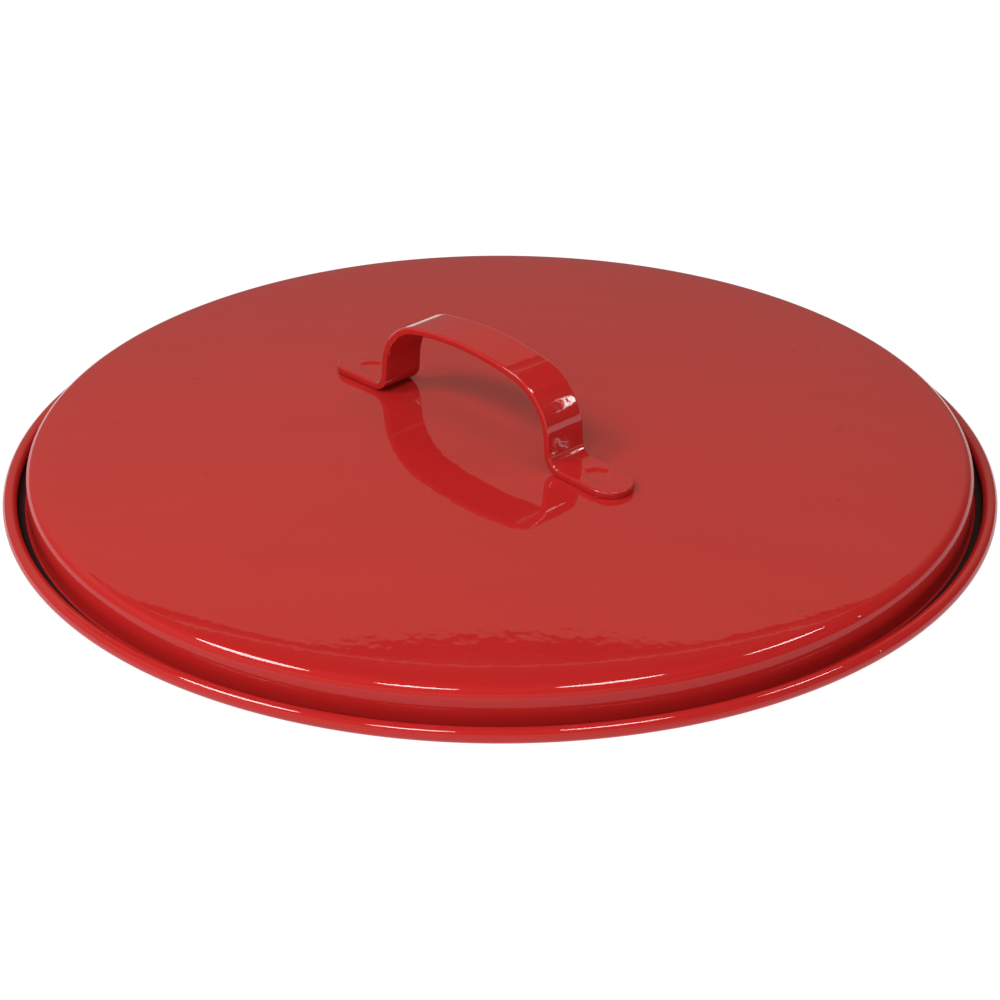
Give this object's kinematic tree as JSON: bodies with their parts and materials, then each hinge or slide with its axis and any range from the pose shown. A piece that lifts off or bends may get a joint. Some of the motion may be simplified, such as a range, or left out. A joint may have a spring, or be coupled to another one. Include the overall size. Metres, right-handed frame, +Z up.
{
  "type": "oily waste can lid",
  "caption": "Round lift-off steel lid with a gently crowned top, a short skirt, a rolled rim and a bent strap handle welded on at both feet.",
  "frame": {"origin": "on the pan's axis, in the plane that the rolled rim rests on", "axes": "+Z up along the pan's axis; the handle's length runs along X"},
  "size_m": [0.4, 0.4, 0.0631],
  "materials": {
    "red_enamel": "glossy red baked enamel with light orange peel",
    "weld_steel": "bare fused steel"
  },
  "bodies": {
    "root": {"lid_pan": "red_enamel", "handle": "red_enamel", "handle_weld_left": "weld_steel", "handle_weld_right": "weld_steel"}
  },
  "joints": []
}
